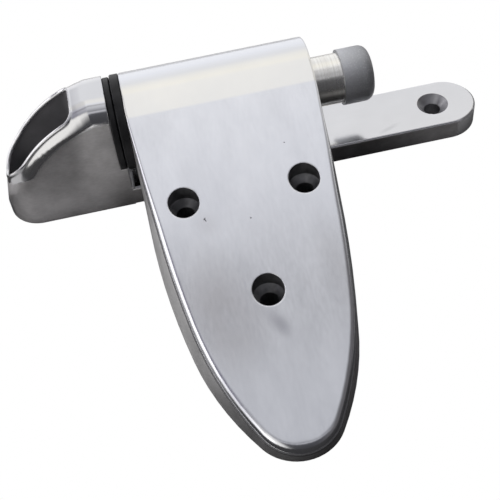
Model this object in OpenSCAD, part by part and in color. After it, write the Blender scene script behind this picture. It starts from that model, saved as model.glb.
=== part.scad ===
// Cam-rise hinge for a cooler door: a flange for the frame, a strap for the door,
// and a fixed pin on which the strap turns and climbs a pair of nylon cams.
// X runs along the pin, -Y points to the strap's tip, Z stands out of the mounting faces.
// The origin lies on the flange's mounting face, under the middle of the barrel.

/* [Flange] */
// Width of the flange bar and of the housing
flange_w = 28; // [24:0.5:34]
// Thickness of the flange bar
flange_t = 9.6; // [7:0.2:12]
// Reach of the flange from the barrel's middle to its free end
flange_reach = 115; // [100:1:140]
// Distance of each mounting hole from its end of the flange
hole_inset = 19; // [16:0.5:24]
// Bevel along the bar's upper edges
bar_bevel = 0.8; // [0.2:0.1:1.5]

/* [Housing] */
// Length of the domed housing, from its nose to the cam's seat
housing_len = 52; // [48:0.5:60]
// Radius of the nose, seen from the front
nose_r = 57.5; // [52:0.5:70]
// Height of the housing's crown above the pin's axis
crown_h = 20; // [18:0.2:23]
// Radius of the rounded shoulders
shoulder_r = 9.5; // [5:0.5:12]
// Wall round the screw pocket
pocket_wall = 3.6; // [2.5:0.1:5]
// Wall between the pocket and the end of the pin
pin_end_wall = 3; // [2:0.2:5]
// Hollow fillet where the housing meets the bar
foot_fillet = 1.5; // [1:0.5:5]

/* [Pin] */
// Height of the pin's axis above the mounting face
pin_h = 36; // [34:0.5:44]
// Diameter of the pin
pin_d = 21.4; // [18:0.1:22.4]
// Depth of the pin in the housing
pin_seat = 11.9; // [10:0.1:14]
// Length of bare pin between the barrel and the cap, which leaves room for the climb
pin_bare = 13.5; // [12:0.5:20]
// Diameter of the spring pin that locks the hinge pin
roll_pin_d = 4; // [3:0.5:5]

/* [Strap] */
// Length of the barrel, which is also the strap's width
barrel_len = 79; // [70:1:95]
// Outer radius of the barrel
barrel_r = 20.2; // [19:0.1:24]
// Wall of the barrel round the cam's sleeve and the bush
barrel_wall = 3; // [2.6:0.2:4]
// Distance from the pin's axis to the strap's tip
strap_reach = 155; // [144:1:165]
// Thickness of the strap at its tip
tip_t = 7; // [6:0.5:12]
// Distance from the pin's axis at which the sides begin to curve
flank_start = 33; // [28:1:40]
// Angle through which each side has turned where its long flank ends
flank_turn = 11; // [8:0.5:14]
// Angle through which each side has turned where the round tip begins
tip_turn = 33; // [26:1:40]
// Radius of the bend below the flank, as a share of the flank's
bend_share = 0.33; // [0.25:0.01:0.5]
// Wall of the hollow casting
strap_wall = 5; // [3.5:0.5:7]
// Rounding of the top edge at the tip
edge_r = 2.4; // [1.2:0.2:2.6]
// Depth of the small ledge below the sloped face
ledge_depth = 3.2; // [3:0.1:4]
// Width of that ledge
ledge_w = 0.5; // [0.3:0.1:1.2]
// Lean of the side walls towards the top, in degrees
draft = 3.2; // [0:0.2:4]

/* [Screw holes] */
// Diameter of every screw hole
screw_d = 7.2; // [6:0.1:8]
// Diameter of the countersinks in the flange
sink_d = 13.8; // [11:0.1:15]
// Diameter of the counterbores in the strap
bore_d = 12.4; // [11:0.1:14]
// Depth of the counterbores to the screw hole, at their middle
bore_depth = 6.6; // [5:0.1:9]
// Spacing of the strap's pair of holes
pair_spacing = 48; // [40:1:54]
// Distance of the pair from the pin's axis
pair_reach = 56; // [50:1:62]
// Distance of the single hole from the pin's axis
single_reach = 96; // [88:1:104]

/* [Cams] */
// Thickness of the lower cam's rim
lower_cam_t = 2.8; // [2:0.1:5]
// Radius of the lower cam's rim
lower_cam_r = 19.5; // [18.5:0.1:19.8]
// Thickness of the upper cam's rim
upper_cam_t = 3.6; // [2.5:0.1:5]
// Climb of the strap over its full swing
climb = 10.5; // [6:0.5:11]
// Full swing of the strap in degrees
swing = 120; // [90:5:170]

/* [Cap] */
// Length of the end cap
cap_len = 13.3; // [11:0.1:18]
// Wall of the end cap
cap_wall = 1.2; // [0.8:0.1:2]
// Rounding of the cap's closed end
cap_round = 4; // [1:0.5:5]

/* [Hidden] */
$fn = 96;

// Clearances
seat_gap = 0.03;
run_gap = 0.06;
key_gap = 0.15;
cam_gap = 0.3;
part_gap = 1.5;

// Places along the pin
barrel_end = barrel_len / 2;
upper_face = -barrel_end - upper_cam_t;
lower_face = upper_face - cam_gap;
seat_face = lower_face - lower_cam_t;
nose_tip = seat_face - housing_len;
pin_start = seat_face - pin_seat;
pocket_end = pin_start - pin_end_wall;
cap_start = barrel_end + pin_bare;
cap_end = cap_start + cap_len;
pin_stop = cap_end - 2 * cap_wall;
roll_pin_inset = 7;
roll_pin_x = seat_face - roll_pin_inset;

// Flange
half_w = flange_w / 2;
right_hole_x = flange_reach - hole_inset;
left_hole_x = nose_tip + hole_inset;
housing_top = pin_h + crown_h;
nose_x = nose_tip + nose_r;
pocket_r = half_w - pocket_wall;
pocket_corner = 4;
cradle_top = pin_h - sqrt(pow(lower_cam_r, 2) - pow(half_w, 2));
bevel_low = bar_bevel / 2;

// Pin, barrel and cams
pin_r = pin_d / 2;
run_r = pin_r + run_gap;
seat_r = pin_r + seat_gap;
barrel_bore_r = barrel_r - barrel_wall;
sleeve_r = barrel_bore_r - 0.05;
crown_outer_r = sleeve_r - 1.75;
void_r = crown_outer_r + 0.3;
ramp_rate = climb / swing;
ramp_start = 2;
ramp_margin = 2;
ramp_top = ramp_start + 180 * ramp_rate;
sleeve_end = lower_face + ramp_top + cam_gap + 5;
bush_start = barrel_end - 24;
bush_stop = barrel_end - 0.6;
relief_r = pin_r + 1.5;
key_w = 6;
key_in = 12.5;
key_out = 16.5;
key_len = 3.4;
tab_len = 6;
tab_r = sleeve_r + 1.4;
roll_pin_top = pin_h + pin_r + 2;

// Strap: the sloped face touches the barrel and falls to the tip's thickness
strap_back = half_w + part_gap;
tip_dist = sqrt(pow(strap_reach, 2) + pow(pin_h - tip_t, 2));
slope = asin(barrel_r / tip_dist) + atan((pin_h - tip_t) / strap_reach);
neck_y = barrel_r * sin(slope);
web_z = pin_h - barrel_r * cos(33);
edge_r_back = 1;
edge_steps = 5;
ledge_least = 0.05;
lean_run = 45;

// Strap's sides: three arcs whose radii follow from the reach, the angles and the share
tip_lift = (1 - sin(tip_turn)) / cos(tip_turn);
flank_in = 1 - cos(flank_turn) + bend_share * (cos(flank_turn) - cos(tip_turn));
flank_down = sin(flank_turn) + bend_share * (sin(tip_turn) - sin(flank_turn));
flank_r = (strap_reach - flank_start - barrel_end * tip_lift) / (flank_down - tip_lift * flank_in);
bend_r = bend_share * flank_r;
tip_r = (barrel_end - flank_r * flank_in) / cos(tip_turn);

function face_z(y) = pin_h + (barrel_r + y * sin(slope)) / cos(slope);

// Right side of the strap's outline as [x, y, outward angle], from the barrel to the tip
function side_points() = concat(
    [for (i = [0:3]) [barrel_end, -neck_y - (flank_start - neck_y) * i / 4, 0]],
    [for (i = [0:6]) let (a = flank_turn * i / 7)
        [barrel_end - flank_r * (1 - cos(a)), -flank_start - flank_r * sin(a), a]],
    [for (i = [0:6]) let (a = flank_turn + (tip_turn - flank_turn) * i / 7)
        [tip_r * cos(tip_turn) + bend_r * (cos(a) - cos(tip_turn)),
         tip_r - strap_reach - tip_r * sin(tip_turn) + bend_r * (sin(tip_turn) - sin(a)), a]],
    [for (i = [0:8]) let (a = tip_turn + (90 - tip_turn) * i / 9)
        [tip_r * cos(a), tip_r - strap_reach - tip_r * sin(a), a]]);

// The whole outline, from the right corner round the tip to the left corner
function outline() = let (side = side_points(), n = len(side)) concat(
    side, [[0, -strap_reach, 90]],
    [for (i = [n - 1:-1:0]) [-side[i][0], side[i][1], 180 - side[i][2]]]);

// Share of an edge's full size at y: none beside the barrel, all of it after the given run
function share_at(y, run) = min(1, max(0, (-y - strap_back) / run));

function edge_at(y) = edge_r_back + (edge_r - edge_r_back) * share_at(y, pair_reach);

function ledge_at(y) = ledge_least + (ledge_w - ledge_least) * share_at(y, lean_run);

// How far the leaning wall has come in at height z
function lean_in(y, z) = z * tan(draft) * share_at(y, lean_run);

// Rings of the strap's skin: the outline moved in and set below the sloped face
function ledge_ring(f) = [for (p = outline())
    let (w = ledge_at(p[1]) * f, drop = ledge_depth - w / 3,
         d = w + lean_in(p[1], face_z(p[1]) - drop),
         x = p[0] - d * cos(p[2]), y = p[1] + d * sin(p[2]))
    [x, y, face_z(y) - drop]];

function edge_ring(k) = let (a = 90 * k / edge_steps) [for (p = outline())
    let (r = edge_at(p[1]), d = ledge_at(p[1]) + lean_in(p[1], face_z(p[1])) + r * (1 - cos(a)),
         x = p[0] - d * cos(p[2]), y = p[1] + d * sin(p[2]))
    [x, y, face_z(y) - r * (1 - sin(a))]];

// Places a shape drawn along Z on the pin's axis, with its Z running along X
module on_pin(x = 0) {
    translate([x, 0, pin_h]) rotate([0, 90, 0]) children();
}

// Extrudes a profile drawn in Y and Z from x = a to x = b
module along_x(a, b) {
    translate([a, 0, 0]) rotate([90, 0, 90]) linear_extrude(b - a) children();
}

// Solid tube on the pin's axis
module tube(a, b, inner, outer) {
    on_pin(a) difference() {
        cylinder(h = b - a, r = outer);
        translate([0, 0, -1]) cylinder(h = b - a + 2, r = inner);
    }
}

// Upright screw hole with its countersink, whose rim lies at height z
module screw_hole(x, y, z, rim_d) {
    translate([x, y, -1]) cylinder(h = z + 1, d = screw_d);
    translate([x, y, z - (rim_d - screw_d) / 2])
        cylinder(h = (rim_d - screw_d) / 2, d1 = screw_d, d2 = rim_d);
}

// Flange bar, with bevelled edges and a round free end
module bar() {
    end_x = flange_reach - half_w;
    profile = [[0, 0], [half_w - bevel_low, 0], [half_w, bevel_low], [half_w, flange_t - bar_bevel],
               [half_w - bar_bevel, flange_t], [0, flange_t]];
    along_x(pocket_end, end_x) {
        polygon(profile);
        mirror([1, 0]) polygon(profile);
    }
    translate([end_x, 0, 0]) rotate_extrude() polygon(profile);
}

// Rectangle with two rounded upper corners
module shouldered(w, h, r) {
    translate([-w / 2, 0]) square([w, h - r]);
    translate([r - w / 2, 0]) square([w - 2 * r, h]);
    for (s = [-1, 1]) translate([s * (w / 2 - r), h - r]) circle(r);
}

// Half section of the nose, swept about its centre
module nose_profile() {
    intersection() {
        rotate(-90) shouldered(flange_w, nose_r, shoulder_r);
        translate([0, -flange_w]) square([nose_r + 1, 2 * flange_w]);
    }
}

// Domed housing: crowned section, swept nose and round plan
module housing() {
    intersection() {
        along_x(nose_tip - 1, lower_face) shouldered(flange_w, housing_top, shoulder_r);
        translate([nose_x, 0, 0]) rotate([90, 0, 0]) rotate_extrude() nose_profile();
        linear_extrude(housing_top + 1) {
            translate([nose_tip + half_w, 0]) circle(half_w);
            translate([nose_tip + half_w, -half_w]) square([housing_len + lower_cam_t, flange_w]);
        }
    }
    translate([lower_face, half_w, flange_t]) rotate([90, 0, 0]) linear_extrude(flange_w) difference() {
        square(foot_fillet);
        translate([foot_fillet, foot_fillet]) circle(foot_fillet);
    }
}

// Pocket over the hidden mounting hole
module pocket() {
    centre_x = nose_tip + half_w;
    run = pocket_end - centre_x;
    translate([centre_x, 0, flange_t]) linear_extrude(housing_top) {
        circle(pocket_r);
        translate([0, -pocket_r]) square([run - pocket_corner, 2 * pocket_r]);
        translate([0, pocket_corner - pocket_r]) square([run, 2 * (pocket_r - pocket_corner)]);
        for (s = [-1, 1]) translate([run - pocket_corner, s * (pocket_r - pocket_corner)]) circle(pocket_corner);
    }
}

// Keys of the lower cam, above and below the pin
module lower_keys(gap) {
    for (s = [-1, 1]) translate([seat_face - key_len - gap, -key_w / 2 - gap, pin_h + s * (key_in + key_out) / 2])
        translate([0, 0, -(key_out - key_in) / 2 - gap])
            cube([key_len + gap + 0.5, key_w + 2 * gap, key_out - key_in + 2 * gap]);
}

module flange() {
    color("silver") difference() {
        union() {
            bar();
            housing();
        }
        on_pin(pin_start) cylinder(h = pin_seat + 1, r = seat_r);
        on_pin(seat_face) cylinder(h = lower_cam_t + 1, r = lower_cam_r + key_gap);
        translate([seat_face, -flange_w, cradle_top]) cube([lower_cam_t + 1, 2 * flange_w, housing_top]);
        lower_keys(key_gap);
        pocket();
        screw_hole(right_hole_x, 0, flange_t, sink_d);
        screw_hole(left_hole_x, 0, flange_t, sink_d);
        translate([roll_pin_x, 0, -1]) cylinder(h = roll_pin_top + 2, d = roll_pin_d + 2 * seat_gap);
    }
}

// Outer skin of the strap, swept round its outline
module strap_skin() {
    rings = concat(
        [[for (p = outline()) [p[0], p[1], 0]], ledge_ring(0), ledge_ring(1)],
        [for (k = [0:edge_steps]) edge_ring(k)]);
    n = len(rings[0]);
    m = len(rings);
    points = [for (r = rings) for (p = r) p];
    walls = [for (j = [0:m - 2]) for (i = [0:n - 1]) let (
            a = j * n + i, b = j * n + (i + 1) % n, c = (j + 1) * n + (i + 1) % n, d = (j + 1) * n + i)
        each [[a, b, c], [a, c, d]]];
    mid = (n - 1) / 2;
    top = (m - 1) * n;
    under = concat([for (i = [0:mid - 2]) each [[i, n - 1 - i, n - 2 - i], [i, n - 2 - i, i + 1]]],
        [[mid - 1, mid + 1, mid]]);
    over = [for (f = under) [top + f[0], top + f[2], top + f[1]]];
    polyhedron(points, concat(under, walls, over));
}

// Strap without its holes: the skin, cut away over the flange's bar, and the barrel
module strap_body() {
    difference() {
        strap_skin();
        translate([-barrel_len, -strap_back, -1]) cube([2 * barrel_len, 2 * strap_back, web_z + 1]);
    }
    on_pin(-barrel_end) rotate_extrude() {
        square([barrel_r - edge_r_back, barrel_len]);
        translate([0, edge_r_back]) square([barrel_r, barrel_len - 2 * edge_r_back]);
        for (x = [edge_r_back, barrel_len - edge_r_back]) intersection() {
            translate([barrel_r - edge_r_back, x]) circle(edge_r_back);
            square([barrel_r, barrel_len]);
        }
    }
}

// Outline of the strap's hollow, drawn inside its wall
module hollow_outline() {
    polygon([for (p = outline()) [p[0] - strap_wall * cos(p[2]), p[1] + strap_wall * sin(p[2])]]);
}

// Hollow under the strap, which leaves a boss round each screw hole
module strap_hollow() {
    back = -strap_back - strap_wall - 4;
    front = strap_wall - strap_reach;
    boss_r = bore_d / 2 + 3;
    difference() {
        intersection() {
            translate([0, 0, -1]) linear_extrude(housing_top) hollow_outline();
            along_x(-barrel_end, barrel_end) polygon([
                [front, -1], [back, -1], [back, face_z(back) - strap_wall], [front, face_z(front) - strap_wall]]);
        }
        for (p = strap_holes()) translate([p[0], p[1], -2]) cylinder(h = housing_top, r = boss_r);
    }
}

function strap_holes() = [
    [-pair_spacing / 2, -pair_reach], [pair_spacing / 2, -pair_reach], [0, -single_reach]];

// Keys of the upper cam, in front of and behind the pin
module upper_keys(gap) {
    translate([-barrel_end - 0.5, -tab_r - gap, pin_h - key_w / 2 - gap])
        cube([tab_len + gap + 0.5, 2 * (tab_r + gap), key_w + 2 * gap]);
}

module strap() {
    color("gainsboro") difference() {
        strap_body();
        strap_hollow();
        on_pin(-barrel_end - 1) cylinder(h = barrel_len + 2, r = relief_r);
        on_pin(-barrel_end - 1) cylinder(h = sleeve_end + barrel_end + 1, r = barrel_bore_r);
        on_pin(bush_start) cylinder(h = barrel_end - bush_start + 1, r = barrel_bore_r);
        upper_keys(key_gap);
        for (p = strap_holes()) {
            rim_z = face_z(p[1]) - bore_depth + (bore_d - screw_d) / 2;
            screw_hole(p[0], p[1], rim_z, bore_d);
            translate([p[0], p[1], rim_z - 0.01]) cylinder(h = bore_depth + bore_d, d = bore_d);
        }
    }
}

module hinge_pin() {
    bevel = 1;
    color("lightslategray") difference() {
        on_pin() rotate_extrude() polygon([
            [0, pin_start], [pin_r - bevel, pin_start], [pin_r, pin_start + bevel],
            [pin_r, pin_stop - bevel], [pin_r - bevel, pin_stop], [0, pin_stop]]);
        translate([roll_pin_x, 0, pin_h - pin_d]) cylinder(h = 2 * pin_d, d = roll_pin_d + 2 * seat_gap);
    }
}

// Moulded cap, drawn as half of its section and turned about the pin
module end_cap() {
    outer_r = pin_r + cap_wall;
    color("dimgray") on_pin() rotate_extrude() difference() {
        union() {
            translate([0, cap_start]) square([outer_r, cap_len - cap_round]);
            translate([0, cap_start]) square([outer_r - cap_round, cap_len]);
            intersection() {
                translate([outer_r - cap_round, cap_end - cap_round]) circle(cap_round);
                translate([0, cap_start]) square([outer_r, cap_len]);
            }
        }
        translate([0, cap_start - 1]) square([seat_r, pin_stop - cap_start + 1 + seat_gap]);
    }
}

// Solid under a helical ramp that falls over half a turn, from angle a to angle b
module ramp(a, b, bottom, rise, r_in, r_out) {
    steps = 24;
    points = [for (i = [0:steps]) let (t = a + (b - a) * i / steps, top = rise + (180 - t) * ramp_rate)
        each [[r_in * cos(t), r_in * sin(t), bottom], [r_out * cos(t), r_out * sin(t), bottom],
              [r_out * cos(t), r_out * sin(t), top], [r_in * cos(t), r_in * sin(t), top]]];
    sides = [for (i = [0:steps - 1]) for (k = [0:3]) let (
            p = 4 * i + k, q = 4 * i + (k + 1) % 4, u = p + 4, v = q + 4)
        each [[p, q, u], [q, v, u]]];
    polyhedron(points, concat([[3, 2, 1, 0]], sides, [[for (k = [0:3]) 4 * steps + k]]));
}

// Two ramps, one for each half of the cam
module ramps(start, stop, bottom, rise) {
    for (turn = [0, 180]) rotate(turn) ramp(start, stop, bottom, rise, pin_r - 2, barrel_r + 2);
}

module lower_cam() {
    rim_bevel = 0.4;
    color("#222222") difference() {
        union() {
            on_pin(seat_face) rotate_extrude() polygon([
                [run_r, 0], [lower_cam_r - rim_bevel, 0], [lower_cam_r, rim_bevel],
                [lower_cam_r, lower_cam_t - rim_bevel], [lower_cam_r - rim_bevel, lower_cam_t], [run_r, lower_cam_t]]);
            intersection() {
                on_pin(lower_face) ramps(ramp_margin, 180 - ramp_margin, -1, ramp_start);
                tube(lower_face - 0.5, lower_face + ramp_top + 1, run_r, crown_outer_r);
            }
            lower_keys(0);
        }
    }
}

module upper_cam() {
    rim_bevel = 0.4;
    color("#1a1a1a") difference() {
        union() {
            on_pin(upper_face) rotate_extrude() polygon([
                [run_r, 0], [barrel_r - rim_bevel, 0], [barrel_r, rim_bevel],
                [barrel_r, upper_cam_t], [run_r, upper_cam_t]]);
            tube(upper_face, sleeve_end - run_gap, run_r, sleeve_r);
            intersection() {
                upper_keys(0);
                tube(-barrel_end - 0.5, -barrel_end + tab_len, sleeve_r - 1, tab_r);
            }
        }
        intersection() {
            on_pin(lower_face) ramps(0, 180, -1, ramp_start + cam_gap);
            on_pin(lower_face - 1) cylinder(h = ramp_top + 3, r = void_r);
        }
    }
}

module barrel_bush() {
    color("whitesmoke") tube(bush_start + run_gap, bush_stop, run_r, sleeve_r);
}

// Slotted spring pin, driven in from the mounting face
module roll_pin() {
    bottom = 2;
    wall = 0.9;
    slot = 0.8;
    color("slategray") translate([roll_pin_x, 0, bottom]) difference() {
        cylinder(h = roll_pin_top - bottom, d = roll_pin_d);
        translate([0, 0, -1]) cylinder(h = roll_pin_top, d = roll_pin_d - 2 * wall);
        translate([0, -slot / 2, -1]) cube([roll_pin_d, slot, roll_pin_top]);
    }
}

flange();
strap();
hinge_pin();
end_cap();
lower_cam();
upper_cam();
barrel_bush();
roll_pin();
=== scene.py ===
import math

import bmesh
import bpy
from mathutils import Matrix, Vector


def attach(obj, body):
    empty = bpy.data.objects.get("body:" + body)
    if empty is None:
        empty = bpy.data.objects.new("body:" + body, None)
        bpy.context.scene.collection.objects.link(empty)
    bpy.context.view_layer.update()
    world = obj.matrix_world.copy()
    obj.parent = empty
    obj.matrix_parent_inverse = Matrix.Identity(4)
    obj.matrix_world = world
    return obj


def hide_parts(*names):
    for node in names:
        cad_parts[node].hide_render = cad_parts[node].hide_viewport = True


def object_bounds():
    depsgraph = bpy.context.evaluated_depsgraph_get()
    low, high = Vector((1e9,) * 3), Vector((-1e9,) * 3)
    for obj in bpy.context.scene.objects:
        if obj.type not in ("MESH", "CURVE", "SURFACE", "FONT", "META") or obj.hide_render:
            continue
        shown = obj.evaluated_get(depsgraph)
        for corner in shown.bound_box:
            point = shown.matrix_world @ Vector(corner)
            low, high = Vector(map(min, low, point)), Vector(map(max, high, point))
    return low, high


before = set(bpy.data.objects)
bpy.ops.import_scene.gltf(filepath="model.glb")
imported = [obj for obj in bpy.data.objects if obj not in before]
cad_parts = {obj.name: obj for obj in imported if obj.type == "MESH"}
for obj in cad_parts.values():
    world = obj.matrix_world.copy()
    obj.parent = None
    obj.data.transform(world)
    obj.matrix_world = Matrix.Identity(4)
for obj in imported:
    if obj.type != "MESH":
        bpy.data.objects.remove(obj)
cad_low, cad_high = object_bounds()

# Sizes of the part that choose where each finish goes, in metres
PIN_HEIGHT = 0.036
BARREL_RADIUS = 0.0202
CROWN_EDGE_Y = -0.0164
CROWN_BLEND = 0.0006
# Y range over which the painted reflection on the barrel turns from cream to blue-grey
PAINTED_REFLECTION_ENDS_Y = (-0.003, 0.005)
STRAP_BACK_Y = -0.0155
STRAP_REACH = 0.155
TIP_THICKNESS = 0.007
LEDGE_DEPTH = 0.0032
STRAP_HOLES = ((-0.024, -0.056), (0.024, -0.056), (0.0, -0.096))
COUNTERBORE_RADIUS = 0.0062
FLANGE_THICKNESS = 0.0096
FLANGE_HALF_WIDTH = 0.014
HOUSING_FACE_X = -0.0434
POCKET_CENTRE_X = -0.0842
POCKET_END_X = -0.0611
POCKET_HALF_WIDTH = 0.0104
# X range over which painted shade darkens the cap towards its end
CAP_PAINTED_SHADE_X = (0.0545, 0.067)

# Limits for sorting faces by their middles, each set a little off the surface that it bounds
BORE_LIMIT = COUNTERBORE_RADIUS * 1.02
BARREL_LIMIT = BARREL_RADIUS * 0.93
POLISH_DEPTH = LEDGE_DEPTH * 0.93
POCKET_LIMIT = POCKET_HALF_WIDTH * 1.01
POCKET_BACK_X = POCKET_END_X + 0.0002
POCKET_WALL_FOOT = FLANGE_THICKNESS * 0.5
POCKET_FLOOR_TOP = FLANGE_THICKNESS * 1.05
SINK_HALF_WIDTH = 0.0071
SINK_TOP = FLANGE_THICKNESS * 0.999
SEAT_DEPTH = 0.002

# Limits for sorting faces by how far their normals lean
BORE_TILT = 0.9
WALL_TILT = 0.02
FLOOR_TILT = 0.5
SINK_TILT = 0.98
SEAT_TILT = 0.2

# Finishes that a face of the strap and a face of the flange can take, in order
STRAP_TOP, STRAP_SIDE, STRAP_BORE = range(3)
FLANGE_CROWN, FLANGE_POCKET, FLANGE_SINK, FLANGE_SEAT_PAINTED_SHADE = range(4)

# Rolled lip round the pocket
LIP_RADIUS = 0.0009
LIP_INSET = 0.0005
LIP_STEP = 0.0012

# Skins: the gap that is closed between triangles, and the say that large faces have in the shading
MERGE_GAP = 0.000002
LARGE_FACE_WEIGHT = 80

# Slope of the strap's face, which touches the barrel and falls to the tip
TIP_DROP = PIN_HEIGHT - TIP_THICKNESS
SLOPE = math.asin(BARREL_RADIUS / math.hypot(STRAP_REACH, TIP_DROP)) + math.atan2(TIP_DROP, STRAP_REACH)


def strap_face_height(y):
    return PIN_HEIGHT + (BARREL_RADIUS + y * math.sin(SLOPE)) / math.cos(SLOPE)


# Node trees

class Shade:
    """A node's output, which adds Math nodes when it is used in an expression."""

    def __init__(self, tree, socket):
        self.tree = tree
        self.socket = socket

    def maths(self, operation, first, second):
        node = self.tree.nodes.new("ShaderNodeMath")
        node.operation = operation
        feed(self.tree, node.inputs[0], first)
        feed(self.tree, node.inputs[1], second)
        return Shade(self.tree, node.outputs[0])

    def __add__(self, other):
        return self.maths("ADD", self, other)

    __radd__ = __add__

    def __sub__(self, other):
        return self.maths("SUBTRACT", self, other)

    def __rsub__(self, other):
        return self.maths("SUBTRACT", other, self)

    def __mul__(self, other):
        return self.maths("MULTIPLY", self, other)

    __rmul__ = __mul__


def feed(tree, socket, value):
    if isinstance(value, Shade):
        tree.links.new(value.socket, socket)
    else:
        socket.default_value = value


class Tree:
    """A node tree whose nodes are made from a type, settings and socket values."""

    def __init__(self, tree):
        self.tree = tree

    def node(self, kind, settings, sockets, output=None):
        node = self.tree.nodes.new(kind)
        for name, value in settings.items():
            if name == "stops":
                self.stops(node.color_ramp, value)
            else:
                setattr(node, name, value)
        for name, value in sockets.items():
            feed(self.tree, node.inputs[name], value)
        return None if output is None else Shade(self.tree, node.outputs[output])

    def stops(self, ramp, stops):
        while len(ramp.elements) < len(stops):
            ramp.elements.new(1.0)
        for element, (place, colour) in zip(ramp.elements, stops):
            element.position = place
            element.color = colour

    def ramp(self, value, low, high):
        """0 below low, 1 above high, and a straight rise between them."""
        sockets = {"Value": value, "From Min": low, "From Max": high}
        return self.node("ShaderNodeMapRange", {"clamp": True}, sockets, "Result")

    def mix(self, factor, first, second):
        sockets = {0: factor, 6: first, 7: second}
        return self.node("ShaderNodeMix", {"data_type": "RGBA"}, sockets, 2)

    def place(self):
        return self.node("ShaderNodeTexCoord", {}, {}, "Object")

    def axis(self, name):
        return self.node("ShaderNodeSeparateXYZ", {}, {"Vector": self.place()}, name)

    def length(self, vector):
        return self.node("ShaderNodeVectorMath", {"operation": "LENGTH"}, {0: vector}, "Value")

    def noise(self, scale, detail):
        """Noise that is alike in all directions."""
        sockets = {"Vector": self.place(), "Scale": scale, "Detail": detail}
        return self.node("ShaderNodeTexNoise", {}, sockets, "Fac")

    def streaks(self, scales, detail):
        """Noise with its own scale along X, Y and Z, drawn out along the smallest."""
        sockets = {"Vector": self.place(), "Scale": scales}
        drawn_out = self.node("ShaderNodeMapping", {}, sockets, "Vector")
        sockets = {"Vector": drawn_out, "Scale": 1.0, "Detail": detail}
        return self.node("ShaderNodeTexNoise", {}, sockets, "Fac")

    def blot(self, centre, size, turn):
        """1 in the middle of an oval spot, seen from above, falling to 0 at its rim."""
        sockets = {"Vector": self.place(), "Location": (centre[0], centre[1], 0.0),
                   "Rotation": (0.0, 0.0, turn), "Scale": (size[0], size[1], 1.0)}
        local = self.node("ShaderNodeMapping", {"vector_type": "TEXTURE"}, sockets, "Vector")
        sockets = {0: local, 1: (1.0, 1.0, 0.0)}
        flat = self.node("ShaderNodeVectorMath", {"operation": "MULTIPLY"}, sockets, "Vector")
        smooth = {"interpolation_type": "SMOOTHSTEP"}
        return 1 - self.node("ShaderNodeMapRange", smooth, {"Value": self.length(flat)}, "Result")

    def marks(self, spots):
        """Oval spots added up, each with its own strength."""
        total = 0.0
        for centre, size, turn, strength in spots:
            total = total + strength * self.blot(centre, size, turn)
        return total

    def bump(self, height, strength, distance, edge=0.0003):
        """Relief over edges that are rounded by a small radius."""
        soft_edge = self.node("ShaderNodeBevel", {"samples": 6}, {"Radius": edge}, "Normal")
        sockets = {"Height": height, "Strength": strength, "Distance": distance, "Normal": soft_edge}
        return self.node("ShaderNodeBump", {}, sockets, "Normal")


class Finish(Tree):
    """A material built on the Principled shader."""

    def __init__(self, name):
        self.material = bpy.data.materials.new(name)
        self.material.use_nodes = True
        super().__init__(self.material.node_tree)
        self.shader = self.tree.nodes["Principled BSDF"]

    def set(self, sockets):
        for name, value in sockets.items():
            feed(self.tree, self.shader.inputs[name], value)
        return self.material


def rgb(red, green, blue):
    return (red, green, blue, 1.0)


WHITE = rgb(1.0, 1.0, 1.0)

# Marks on the polished faces: an oval's middle, half sizes, turn and strength
STAINS = (
    ((-0.019, -0.100), (0.021, 0.032), 0.15, 0.8),
    ((-0.017, -0.066), (0.007, 0.008), 0.4, 0.35),
    ((0.028, -0.092), (0.010, 0.026), 0.1, 0.3),
)
RUBS = (
    ((0.0004, -0.1082), (0.0050, 0.0095), 0.5, 0.42),
    ((0.0022, -0.1110), (0.0036, 0.0062), 0.35, 0.2),
)
PITS = (
    ((-0.0175, -0.0642), (0.0009, 0.0005), 0.8, 1.0),
    ((0.0, -0.0675), (0.0005, 0.0005), 0.0, 1.0),
    ((0.020, -0.040), (0.0004, 0.0004), 0.0, 1.0),
    ((-0.0172, -0.0649), (0.0004, 0.0007), 0.3, 1.0),
)
# Painted dark reflection of the cap and pin on the flange's polished bar, in the same columns
BAR_PAINTED_REFLECTION = (
    ((0.0728, -0.0098), (0.0075, 0.0018), 0.375, 0.45),
)

# Sanding on the flange: how far inside the flat side it starts and is full, and where it climbs the nose
SANDING_STARTS = 0.00032
SANDING_FULL = 0.00012
NOSE_SANDING_Z = (0.020, 0.031)
NOSE_SANDING_LENGTH = 0.015
NOSE_SANDING_CLIMB = 0.0028

# Painted shadow under the strap's ledge, from full to none below it
LEDGE_SHADOW_FULL = 0.0002
LEDGE_SHADOW_ENDS = 0.0008


# Finishes

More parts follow.
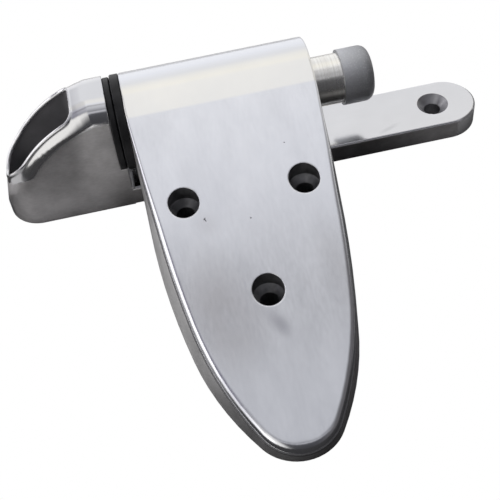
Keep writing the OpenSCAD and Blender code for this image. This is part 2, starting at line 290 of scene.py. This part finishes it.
def strap_polish():
    """Hand polished aluminium: streaks along the strap, soft clouds, a painted cream and blue-grey
    reflection on the barrel and a few marks.
    """
    f = Finish("strap_polish")
    streak = f.streaks((900, 45, 900), 4)
    cloud = f.noise(32, 3)
    smear = f.streaks((110, 30, 110), 4)
    grain = f.noise(2400, 2)
    stain = f.marks(STAINS) * f.ramp(cloud * 0.7 + smear * 0.3, 0.25, 0.6)
    rub = f.marks(RUBS) * f.ramp(streak * 0.6 + smear * 0.4, 0.15, 0.5)
    pit = f.marks(PITS)
    on_crown = f.ramp(f.axis("Y"), CROWN_EDGE_Y - CROWN_BLEND, CROWN_EDGE_Y + CROWN_BLEND)
    sheen = f.ramp(streak * 0.25 + cloud * 0.3 + smear * 0.45, 0.34, 0.64)
    plate = f.mix(sheen, rgb(0.705, 0.715, 0.752), rgb(0.82, 0.831, 0.868))
    plate = f.mix(stain, plate, rgb(0.50, 0.49, 0.50))
    plate = f.mix(rub, plate, rgb(0.36, 0.36, 0.40))
    # Painted reflection on the barrel: cream towards the front, blue-grey towards the back
    painted_cream_reflection = f.mix(f.ramp(cloud, 0.35, 0.65), rgb(0.85, 0.845, 0.825), rgb(0.91, 0.90, 0.865))
    crown = f.mix(f.ramp(f.axis("Y") + 0.004 * cloud, *PAINTED_REFLECTION_ENDS_Y), painted_cream_reflection, rgb(0.83, 0.845, 0.89))
    tone = f.mix(on_crown, plate, crown)
    base = f.mix(pit, tone, rgb(0.06, 0.06, 0.07))
    rough = 0.15 + 0.07 * f.ramp(streak * 0.5 + cloud * 0.5, 0.3, 0.7) + 0.06 * stain + pit * 0.3
    relief = streak * 0.5 + grain * 0.2 - pit * 3.0
    return f.set({"Base Color": base, "Metallic": 1.0, "Roughness": rough,
                  "Normal": f.bump(relief, 0.06, 0.0002, 0.0008)})


def strap_satin():
    """Cast skin that was only sanded: dull, mottled and grained, with a painted shadow under the ledge.
    """
    f = Finish("strap_satin")
    cloud = f.noise(70, 5)
    streak = f.streaks((300, 300, 900), 3)
    grain = f.noise(2600, 3)
    speck = f.ramp(f.noise(900, 2), 0.62, 0.72)
    face_height = f.axis("Y") * math.tan(SLOPE) + (PIN_HEIGHT + BARREL_RADIUS / math.cos(SLOPE))
    below = face_height - f.axis("Z")
    # Painted shadow: near black just under the ledge
    painted_ledge_shadow = 1 - f.ramp(below, LEDGE_DEPTH + LEDGE_SHADOW_FULL, LEDGE_DEPTH + LEDGE_SHADOW_ENDS)
    mottle = f.ramp(cloud * 0.6 + streak * 0.4, 0.34, 0.66)
    tone = f.mix(mottle, rgb(0.50, 0.50, 0.505), rgb(0.67, 0.67, 0.675))
    tone = f.mix(speck * 0.25, tone, rgb(0.80, 0.80, 0.81))
    base = f.mix(painted_ledge_shadow * 0.8, tone, rgb(0.07, 0.07, 0.075))
    rough = 0.32 + 0.14 * grain + 0.1 * cloud + 0.1 * painted_ledge_shadow
    return f.set({"Base Color": base, "Metallic": 1.0, "Roughness": rough,
                  "Normal": f.bump(grain + streak * 0.5, 0.16, 0.0002)})


def flange_polish():
    """Mirror polish on top and round the shoulders, sanded skin on the flat sides."""
    f = Finish("flange_polish")
    cloud = f.noise(60, 5)
    blotch = f.noise(150, 4)
    brush = f.streaks((420, 420, 900), 3)
    along = f.streaks((70, 420, 420), 3)
    grain = f.noise(2600, 3)
    from_centre = {0: f.axis("X") - POCKET_CENTRE_X, 1: 0.0}
    nose = f.node("ShaderNodeMath", {"operation": "MINIMUM"}, from_centre, 0)
    plan = f.node("ShaderNodeCombineXYZ", {}, {"X": nose, "Y": f.axis("Y")}, "Vector")
    foot = 1 - f.ramp(f.axis("Z") + 0.006 * blotch, *NOSE_SANDING_Z)
    foot = foot * (1 - f.ramp(f.axis("X"), POCKET_CENTRE_X, POCKET_CENTRE_X + NOSE_SANDING_LENGTH))
    side = f.length(plan) + 0.0001 * (cloud - 0.5) + NOSE_SANDING_CLIMB * foot
    sanded = f.ramp(side, FLANGE_HALF_WIDTH - SANDING_STARTS, FLANGE_HALF_WIDTH - SANDING_FULL)
    sheen = f.ramp(along * 0.3 + cloud * 0.7, 0.3, 0.7)
    bright = f.mix(sheen, rgb(0.76, 0.762, 0.78), rgb(0.81, 0.812, 0.83))
    # Painted reflection: the cap and pin darken the polished bar
    painted_cap_reflection = f.marks(BAR_PAINTED_REFLECTION) * f.ramp(cloud, 0.2, 0.6)
    bright = f.mix(painted_cap_reflection, bright, rgb(0.42, 0.42, 0.44))
    mottle = f.ramp(cloud * 0.5 + blotch * 0.3 + brush * 0.2, 0.36, 0.62)
    skin = f.mix(mottle, rgb(0.44, 0.432, 0.436), rgb(0.66, 0.648, 0.654))
    rough = 0.10 + 0.05 * along + sanded * (0.22 + 0.12 * grain + 0.1 * blotch)
    relief = along * 0.12 + sanded * (grain + brush)
    return f.set({"Base Color": f.mix(sanded, bright, skin), "Metallic": 1.0, "Roughness": rough,
                  "Normal": f.bump(relief, 0.12, 0.0002, 0.0009)})


def pocket_paint():
    """Rough cast pocket under a coat of dark grey paint."""
    f = Finish("pocket_skin")
    cloud = f.noise(90, 4)
    grain = f.noise(1700, 3)
    speck = f.ramp(f.noise(1100, 2), 0.64, 0.72)
    base = f.mix(f.ramp(cloud, 0.3, 0.7), rgb(0.13, 0.128, 0.136), rgb(0.19, 0.188, 0.198))
    base = f.mix(speck * 0.3, base, rgb(0.2, 0.2, 0.21))
    return f.set({"Base Color": base, "Roughness": 0.42 + 0.15 * grain,
                  "Normal": f.bump(grain, 0.25, 0.0002, 0.0006)})


def bored_metal(name, dark, light, rough):
    """Drilled and spot-faced metal with fine cutting rings."""
    f = Finish(name)
    ring = f.streaks((150, 150, 4000), 2)
    cloud = f.noise(180, 3)
    base = f.mix(f.ramp(cloud, 0.35, 0.7), dark, light)
    return f.set({"Base Color": base, "Metallic": 1.0, "Roughness": rough + 0.2 * ring,
                  "Normal": f.bump(ring, 0.2, 0.0002)})


def turned_steel():
    """Turned pin: fine rings round the axis over a warm grey steel."""
    f = Finish("turned_steel")
    ring = f.streaks((2600, 6, 6), 3)
    band = f.streaks((160, 4, 4), 2)
    smear = f.noise(160, 3)
    line = f.ramp(f.streaks((1100, 5, 5), 2), 0.42, 0.60)
    cut = f.ramp(ring * 0.4 + band * 0.4 + line * 0.2, 0.3, 0.7)
    base = f.mix(cut, rgb(0.84, 0.825, 0.785), rgb(0.99, 0.985, 0.95))
    rough = 0.17 + 0.10 * band + 0.08 * smear
    return f.set({"Base Color": base, "Metallic": 1.0, "Roughness": rough,
                  "Normal": f.bump(ring, 0.3, 0.00015)})


def grained_plastic():
    """Moulded cap in a satin metallic grey with a fine eroded grain, and painted shade darkening it
    towards its end.
    """
    f = Finish("grained_plastic")
    grain = f.noise(1900, 3)
    speck = f.ramp(f.noise(2000, 2), 0.58, 0.68)
    cloud = f.noise(120, 3)
    tone = f.mix(cloud, rgb(0.49, 0.50, 0.53), rgb(0.62, 0.63, 0.665))
    # Painted shade: the cap darkens towards its end
    tone = f.mix(0.8 * f.ramp(f.axis("X"), *CAP_PAINTED_SHADE_X), tone, rgb(0.19, 0.192, 0.20))
    base = f.mix(speck * 0.45, tone, rgb(0.78, 0.785, 0.80))
    return f.set({"Base Color": base, "Metallic": 0.7, "Roughness": 0.36 + 0.2 * grain,
                  "Normal": f.bump(grain, 0.6, 0.0003)})


def black_nylon():
    """Moulded cams: black, slightly waxy, with rubbed grey patches."""
    f = Finish("black_nylon")
    cloud = f.noise(140, 4)
    grain = f.noise(2200, 2)
    base = f.mix(f.ramp(cloud, 0.4, 0.75), rgb(0.007, 0.007, 0.008), rgb(0.020, 0.020, 0.022))
    return f.set({"Base Color": base, "Roughness": 0.3 + 0.2 * cloud, "Specular IOR Level": 0.25,
                  "Normal": f.bump(grain, 0.15, 0.0002)})


def white_nylon():
    """Plain turned bush."""
    f = Finish("white_nylon")
    ring = f.streaks((1800, 8, 8), 2)
    cloud = f.noise(150, 3)
    base = f.mix(cloud, rgb(0.66, 0.64, 0.58), rgb(0.80, 0.78, 0.72))
    return f.set({"Base Color": base, "Roughness": 0.4 + 0.15 * ring,
                  "Normal": f.bump(ring, 0.2, 0.0002)})


COUNTERBORE = bored_metal("counterbore", rgb(0.13, 0.13, 0.137), rgb(0.34, 0.34, 0.352), 0.45)
COUNTERSINK = bored_metal("countersink", rgb(0.36, 0.36, 0.375), rgb(0.54, 0.54, 0.56), 0.34)
# The cam seat's face is darkened with painted shade
CAM_SEAT_PAINTED_SHADE = bored_metal("cam_seat_painted_shade", rgb(0.07, 0.07, 0.075), rgb(0.20, 0.20, 0.21), 0.28)
STRAP_FINISHES = (strap_polish(), strap_satin(), COUNTERBORE)
FLANGE_FINISHES = (flange_polish(), pocket_paint(), COUNTERSINK, CAM_SEAT_PAINTED_SHADE)
STEEL = turned_steel()
CAP = grained_plastic()
NYLON = black_nylon()
BUSH = white_nylon()


# Pieces

def strap_finish(centre, normal):
    """Polished above the ledge, satin below it and inside, dark in the holes."""
    for x, y in STRAP_HOLES:
        if math.hypot(centre.x - x, centre.y - y) < BORE_LIMIT and abs(normal.z) < BORE_TILT:
            return STRAP_BORE
    pin_distance = math.hypot(centre.y, centre.z - PIN_HEIGHT)
    if pin_distance > BARREL_LIMIT and centre.y > STRAP_BACK_Y:
        return STRAP_TOP
    if strap_face_height(centre.y) - centre.z < POLISH_DEPTH:
        return STRAP_TOP
    return STRAP_SIDE


def flange_finish(centre, normal):
    """Polished and sanded casting, with dark paint in the pocket, a bored hole and painted shade on the
    cam seat.
    """
    in_pocket = centre.x < POCKET_BACK_X and abs(centre.y) < POCKET_LIMIT
    if centre.x < POCKET_CENTRE_X:
        in_pocket = math.hypot(centre.x - POCKET_CENTRE_X, centre.y) < POCKET_LIMIT
    if in_pocket and centre.z > POCKET_WALL_FOOT and abs(normal.z) < WALL_TILT:
        return FLANGE_POCKET
    if in_pocket and centre.z < POCKET_FLOOR_TOP and normal.z > FLOOR_TILT:
        return FLANGE_POCKET
    if abs(centre.y) < SINK_HALF_WIDTH and centre.z < SINK_TOP and abs(normal.z) < SINK_TILT:
        return FLANGE_SINK
    # Painted shade on the cam seat's face
    if normal.x > SEAT_TILT and abs(centre.x - HOUSING_FACE_X) < SEAT_DEPTH:
        return FLANGE_SEAT_PAINTED_SHADE
    return FLANGE_CROWN


def one_finish(centre, normal):
    return 0


def rim_loops(bm):
    """The edges where the dark pocket meets the polished crown, as a list of vertices for each loop."""
    rim = {FLANGE_CROWN, FLANGE_POCKET}
    left = {}
    for edge in bm.edges:
        if len(edge.link_faces) == 2 and {face.material_index for face in edge.link_faces} == rim:
            left[edge] = True
    loops = []
    while left:
        edge = next(iter(left))
        del left[edge]
        loop = [edge.verts[0], edge.verts[1]]
        while True:
            onward = [e for e in loop[-1].link_edges if e in left]
            if not onward:
                break
            del left[onward[0]]
            loop.append(onward[0].other_vert(loop[-1]))
        loops.append(loop)
    return loops


def side_normal(vert, finish):
    """The mean direction of the faces of one finish round a vertex."""
    normals = [face.normal for face in vert.link_faces if face.material_index == finish]
    return sum(normals, Vector()).normalized()


def lip_centre(vert):
    """A point just inside the crown and the pocket's wall at a vertex of the rim."""
    return vert.co - (side_normal(vert, FLANGE_CROWN) + side_normal(vert, FLANGE_POCKET)) * LIP_INSET


def even_steps(points, step):
    """Points at equal steps along a closed line, smoothed once."""
    spaced = []
    carried = 0.0
    for start, stop in zip(points, points[1:] + points[:1]):
        length = (stop - start).length
        while carried < length:
            spaced.append(start.lerp(stop, carried / length))
            carried += step
        carried -= length
    around = zip(spaced[-1:] + spaced[:-1], spaced, spaced[1:] + spaced[:1])
    return [(before + 2.0 * here + after) / 4.0 for before, here, after in around]


def pocket_lip(bm):
    """The rolled lip of the casting: a closed bead along the pocket's rim."""
    line = bpy.data.curves.new("pocket_lip", "CURVE")
    line.dimensions = "3D"
    line.bevel_depth = LIP_RADIUS
    line.bevel_resolution = 3
    for loop in rim_loops(bm):
        points = even_steps([lip_centre(vert) for vert in loop], LIP_STEP)
        spline = line.splines.new("POLY")
        spline.points.add(len(points) - 1)
        for point, place in zip(spline.points, points):
            point.co = (*place, 1.0)
        spline.use_cyclic_u = True
    holder = bpy.data.objects.new("pocket_lip", line)
    bead = bpy.data.meshes.new_from_object(holder)
    bpy.data.objects.remove(holder)
    bpy.data.curves.remove(line)
    return bead


def fused(mesh, bead):
    """The mesh with the bead joined to it as one closed skin."""
    body = bpy.data.objects.new("body", mesh)
    extra = bpy.data.objects.new("bead", bead)
    bpy.context.scene.collection.objects.link(body)
    bpy.context.scene.collection.objects.link(extra)
    union = body.modifiers.new("union", "BOOLEAN")
    union.operation = "UNION"
    union.solver = "EXACT"
    union.object = extra
    graph = bpy.context.evaluated_depsgraph_get()
    joined = bpy.data.meshes.new_from_object(body.evaluated_get(graph))
    bpy.data.objects.remove(body)
    bpy.data.objects.remove(extra)
    bpy.data.meshes.remove(bead)
    for polygon in joined.polygons:
        polygon.use_smooth = True
    return joined


def dressed(node, body, finishes, choose=one_finish, sharp_angle=30, bead=None):
    """A copy of a node with merged vertices, even shading, a finish for each face and perhaps a bead."""
    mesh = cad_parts[node].data.copy()
    mesh.name = node + "_skin"
    mesh.materials.clear()
    for finish in finishes:
        mesh.materials.append(finish)
    bm = bmesh.new()
    bm.from_mesh(mesh)
    bmesh.ops.remove_doubles(bm, verts=bm.verts, dist=MERGE_GAP)
    for face in bm.faces:
        face.smooth = True
        face.material_index = choose(face.calc_center_median(), face.normal)
    bm.to_mesh(mesh)
    if mesh.has_custom_normals:
        mesh.attributes.remove(mesh.attributes["custom_normal"])
    if bead:
        mesh = fused(mesh, bead(bm))
    bm.free()
    mesh.set_sharp_from_angle(angle=math.radians(sharp_angle))
    piece = bpy.data.objects.new(node + "_skin", mesh)
    bpy.context.scene.collection.objects.link(piece)
    even = piece.modifiers.new("even_normals", "WEIGHTED_NORMAL")
    even.keep_sharp = True
    even.weight = LARGE_FACE_WEIGHT
    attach(piece, body)
    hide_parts(node)


dressed("strap", "door_side", STRAP_FINISHES, choose=strap_finish, sharp_angle=28)
dressed("flange", "frame_side", FLANGE_FINISHES, choose=flange_finish, sharp_angle=22,
        bead=pocket_lip)
dressed("hinge_pin", "frame_side", (STEEL,))
dressed("end_cap", "frame_side", (CAP,), sharp_angle=40)
dressed("lower_cam", "frame_side", (NYLON,))
dressed("upper_cam", "door_side", (NYLON,))
dressed("barrel_bush", "floating_bush", (BUSH,))
dressed("roll_pin", "frame_side", (STEEL,))


# Floor: white to the camera, and in the metal's reflections a dark cloth with sheets of paper on it

FLOOR_HALF_WIDTH = 0.45
FLOOR_GAP = 0.0002

# Each sheet's brightness, its reach along X and along Y, and the width of its soft rim
PAPER_SHEETS = (
    (0.25, (-0.050, -0.035), (-0.110, -0.050), 0.030),
    (0.32, (-0.110, -0.060), (-0.035, -0.018), 0.014),
    (0.45, (-0.250, -0.140), (-0.045, 0.100), 0.015),
    (0.15, (0.060, 0.120), (-0.120, -0.065), 0.015),
    (0.16, (0.095, 0.200), (-0.030, 0.020), 0.025),
    (0.60, (-0.300, 0.300), (0.070, 0.500), 0.030),
)


def sheet(tree, across, along, margin):
    """1 on a sheet of paper between two X and two Y values, fading to 0 over the margin round it."""
    inside = 1.0
    for name, (low, high) in (("X", across), ("Y", along)):
        place = tree.axis(name)
        fade_out = 1 - tree.ramp(place, high, high + margin)
        inside = inside * tree.ramp(place, low - margin, low) * fade_out
    return inside


def floor_finish():
    material = bpy.data.materials.new("floor_paper")
    material.use_nodes = True
    material.node_tree.nodes.clear()
    tree = Tree(material.node_tree)
    light = 0.0
    for brightness, across, along, margin in PAPER_SHEETS:
        light = light + brightness * sheet(tree, across, along, margin)
    cloth = tree.mix(light, rgb(0.05, 0.049, 0.05), rgb(1.0, 0.995, 0.99))
    table = tree.node("ShaderNodeBsdfDiffuse", {}, {"Color": cloth}, "BSDF")
    paper = tree.node("ShaderNodeEmission", {}, {"Color": WHITE, "Strength": 1.0}, "Emission")
    camera_ray = tree.node("ShaderNodeLightPath", {}, {}, "Is Camera Ray")
    both = tree.node("ShaderNodeMixShader", {}, {0: camera_ray, 1: table, 2: paper}, "Shader")
    tree.node("ShaderNodeOutputMaterial", {}, {"Surface": both})
    return material


floor_mesh = bpy.data.meshes.new("floor")
floor_bm = bmesh.new()
bmesh.ops.create_grid(floor_bm, x_segments=2, y_segments=2, size=FLOOR_HALF_WIDTH)
bmesh.ops.translate(floor_bm, verts=floor_bm.verts, vec=(0.0, 0.0, cad_low.z - FLOOR_GAP))
floor_bm.to_mesh(floor_mesh)
floor_bm.free()
floor_mesh.materials.append(floor_finish())
floor = bpy.data.objects.new("floor", floor_mesh)
bpy.context.scene.collection.objects.link(floor)


# Light: a soft ceiling, grey at the sides, a window at the front left, and three panels

# The ceiling's colour from the front, at 0, over the top to the back, at 1
CEILING_STOPS = (
    (0.00, rgb(0.06, 0.06, 0.065)),
    (0.18, rgb(0.09, 0.09, 0.10)),
    (0.21, rgb(0.58, 0.58, 0.61)),
    (0.24, rgb(0.64, 0.64, 0.67)),
    (0.27, rgb(0.25, 0.25, 0.27)),
    (0.34, rgb(0.47, 0.475, 0.495)),
    (0.42, rgb(0.62, 0.625, 0.655)),
    (0.480, rgb(0.68, 0.685, 0.715)),
    (0.497, rgb(0.38, 0.375, 0.385)),
    (0.518, rgb(0.42, 0.415, 0.425)),
    (0.540, rgb(0.80, 0.805, 0.84)),
    (0.60, rgb(0.94, 0.945, 0.975)),
    (0.66, rgb(0.99, 0.975, 0.94)),
    (0.77, rgb(0.96, 0.945, 0.91)),
    (0.87, rgb(0.84, 0.845, 0.865)),
    (1.00, rgb(1.00, 1.00, 1.01)),
)


def studio_sky():
    world = bpy.data.worlds.new("studio")
    bpy.context.scene.world = world
    world.use_nodes = True
    world.node_tree.nodes.clear()
    tree = Tree(world.node_tree)
    direction = tree.node("ShaderNodeTexCoord", {}, {}, "Generated")
    side = tree.node("ShaderNodeSeparateXYZ", {}, {0: direction}, "X")
    depth = tree.node("ShaderNodeSeparateXYZ", {}, {0: direction}, "Y")
    from_front = depth * 0.5 + 0.5
    ceiling = tree.node("ShaderNodeValToRGB", {"stops": CEILING_STOPS}, {"Fac": from_front}, "Color")
    right_dark = tree.ramp(side, 0.30, 0.75) * (1 - tree.ramp(depth, 0.15, 0.45))
    left_grey = tree.ramp(side * -1.0, 0.35, 0.75)
    window = tree.ramp(side * -1.0, 0.32, 0.48) * tree.ramp(depth * -1.0, 0.34, 0.46)
    colour = tree.mix(right_dark, ceiling, rgb(0.14, 0.135, 0.14))
    colour = tree.mix(left_grey, colour, rgb(0.145, 0.138, 0.19))
    colour = tree.mix(window, colour, rgb(1.0, 0.985, 0.95))
    camera_ray = tree.node("ShaderNodeLightPath", {}, {}, "Is Camera Ray")
    colour = tree.mix(camera_ray, colour, WHITE)
    glow = tree.node("ShaderNodeBackground", {}, {"Color": colour, "Strength": 1.0}, "Background")
    tree.node("ShaderNodeOutputWorld", {}, {"Surface": glow})


def panel(name, place, target, size, power, colour, mirrored):
    """A lit rectangle that faces a target, and that shows in the metal only where it is mirrored."""
    light = bpy.data.lights.new(name, "AREA")
    light.shape = "RECTANGLE"
    light.size = size[0]
    light.size_y = size[1]
    light.energy = power
    light.color = colour
    lamp = bpy.data.objects.new(name, light)
    lamp.location = place
    lamp.rotation_euler = (Vector(target) - Vector(place)).to_track_quat("-Z", "Y").to_euler()
    lamp.visible_glossy = mirrored
    lamp.visible_camera = False
    bpy.context.scene.collection.objects.link(lamp)


studio_sky()
panel("left_panel", place=(-0.75, 0.28, 0.28), target=(0.0, 0.28, 0.28), size=(1.0, 0.52),
      power=2.15, colour=(1.0, 0.985, 0.96), mirrored=True)
panel("edge_card", place=(-0.064, -0.120, 0.020), target=(0.0, -0.120, 0.020), size=(0.17, 0.036),
      power=0.0150, colour=(1.0, 0.99, 0.975), mirrored=True)
panel("top_panel", place=(-0.45, 0.18, 0.75), target=(0.0, -0.02, 0.02), size=(0.6, 0.6),
      power=4.0, colour=(1.0, 1.0, 1.0), mirrored=False)


# Camera at the photograph's viewing angle

AZIMUTH = math.radians(4.295)
ELEVATION = math.radians(50.858)
ROLL = math.radians(8.653)
CAMERA_PLACE = (-0.03217, -0.32665, 0.32816)
FOCAL_PIXELS = 1019.27
CENTRE_PIXEL = (225.14, 267.81)
PHOTO_PIXELS = 500.0
SENSOR = 36.0

back = Vector((-math.sin(AZIMUTH) * math.cos(ELEVATION), -math.cos(AZIMUTH) * math.cos(ELEVATION),
               math.sin(ELEVATION)))
level = Vector((math.cos(AZIMUTH), -math.sin(AZIMUTH), 0.0))
upright = back.cross(level)
right = math.cos(ROLL) * level - math.sin(ROLL) * upright
upward = math.sin(ROLL) * level + math.cos(ROLL) * upright
turned = Matrix((right, upward, back)).transposed().to_4x4()

lens = bpy.data.cameras.new("camera")
lens.sensor_fit = "HORIZONTAL"
lens.sensor_width = SENSOR
lens.lens = FOCAL_PIXELS / PHOTO_PIXELS * SENSOR
lens.shift_x = (PHOTO_PIXELS / 2 - CENTRE_PIXEL[0]) / PHOTO_PIXELS
lens.shift_y = (CENTRE_PIXEL[1] - PHOTO_PIXELS / 2) / PHOTO_PIXELS
lens.clip_start = 0.01
camera = bpy.data.objects.new("camera", lens)
camera.matrix_world = Matrix.Translation(CAMERA_PLACE) @ turned
bpy.context.scene.collection.objects.link(camera)
bpy.context.scene.camera = camera
bpy.context.scene.view_settings.view_transform = "Standard"
